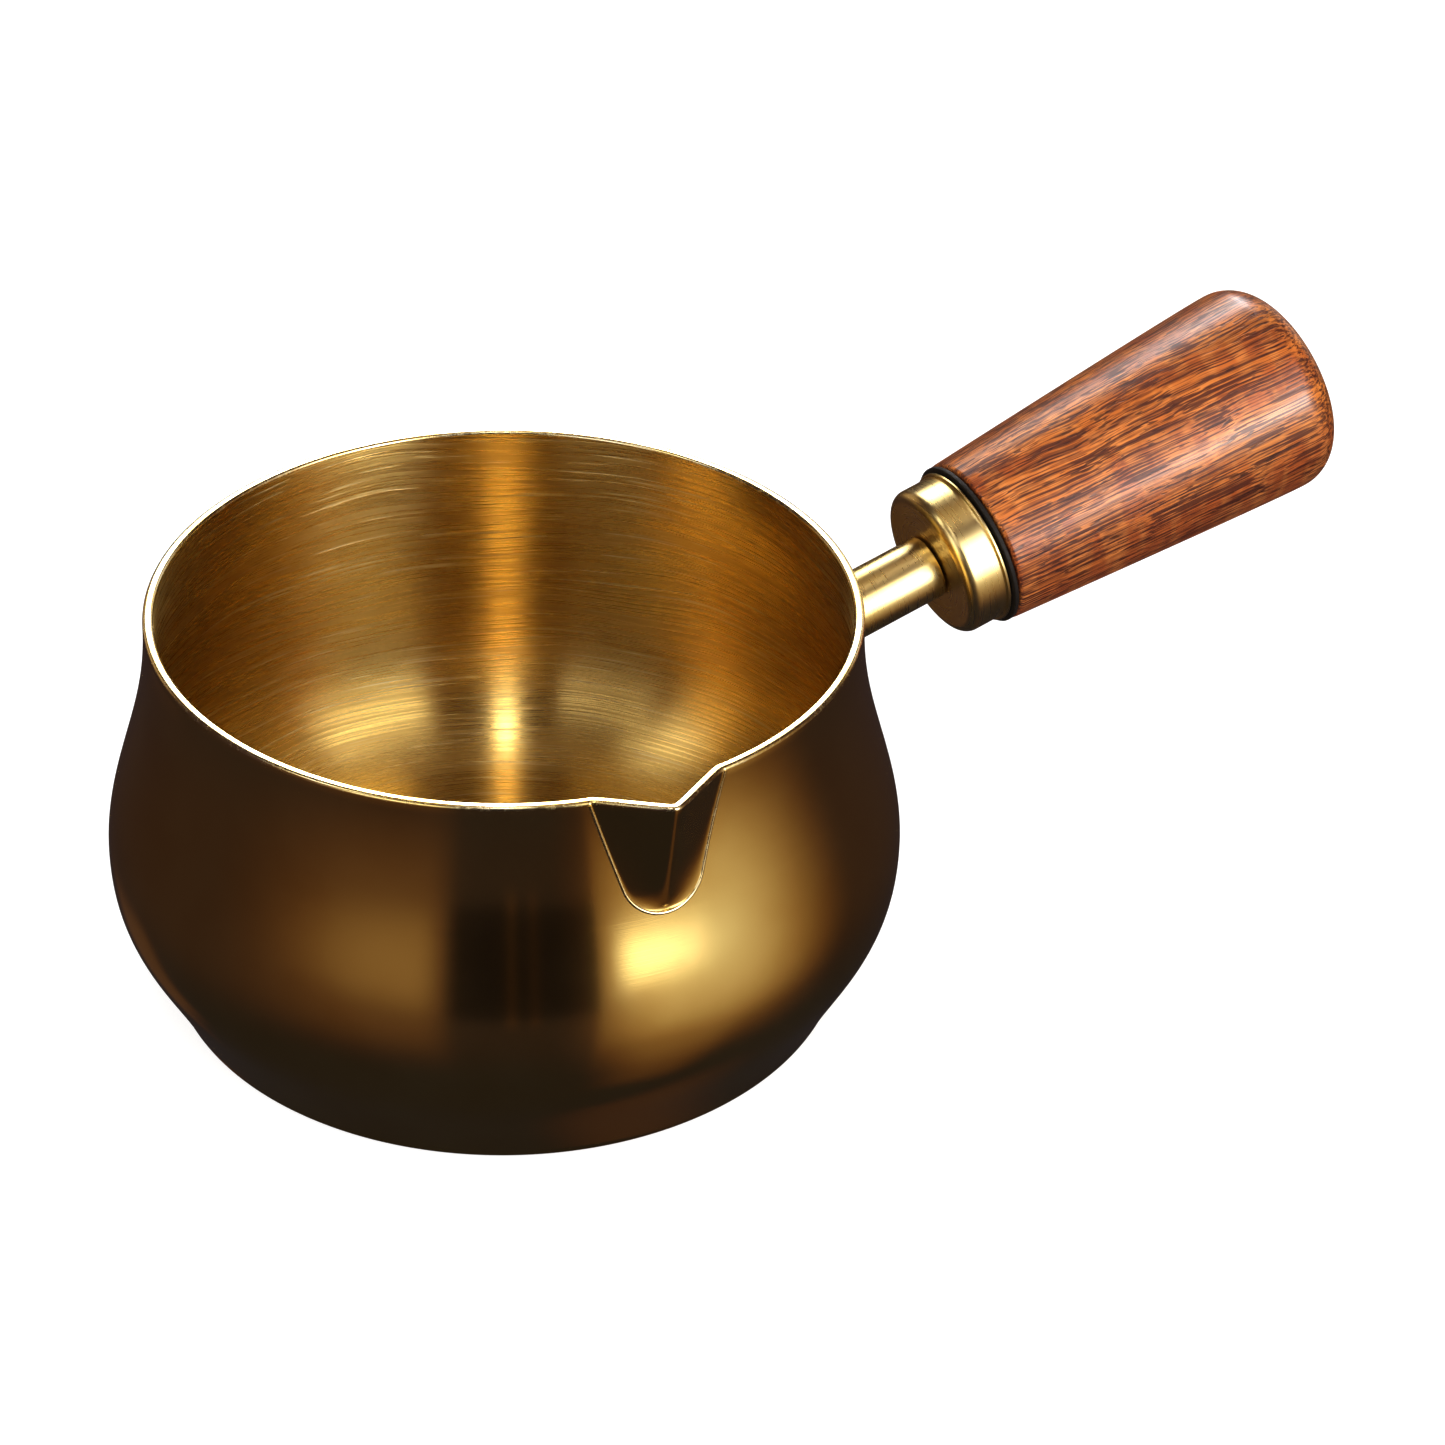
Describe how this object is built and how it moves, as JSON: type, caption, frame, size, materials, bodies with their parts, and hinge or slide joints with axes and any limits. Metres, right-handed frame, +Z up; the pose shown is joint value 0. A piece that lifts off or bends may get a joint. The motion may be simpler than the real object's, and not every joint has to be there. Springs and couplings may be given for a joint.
{
  "type": "pouring pan",
  "caption": "Small wide-mouthed brass coffee and milk pan with a rounded belly, a folded side beak and a turned wooden stick grip on a short brass stem.",
  "frame": {"origin": "centre of the pot's flat base, on the surface it stands on", "axes": "+Z up along the pot's axis, +X from the pot towards the handle, -Y towards the beak"},
  "size_m": [0.1933, 0.1134, 0.0762],
  "materials": {
    "pot_brass": "satin outside, lathe-brushed inside",
    "handle_brass": "polished",
    "black_fibre": "matt",
    "stud_steel": "plain",
    "insert_brass": "plain",
    "grip_wood": "oiled, semi-gloss"
  },
  "bodies": {
    "root": {"pot_body": "pot_brass", "pouring_spout": "pot_brass", "handle_stem": "handle_brass", "ferrule": "handle_brass", "heat_washer": "black_fibre", "threaded_stud": "stud_steel", "threaded_insert": "insert_brass", "wooden_grip": "grip_wood"}
  },
  "joints": []
}
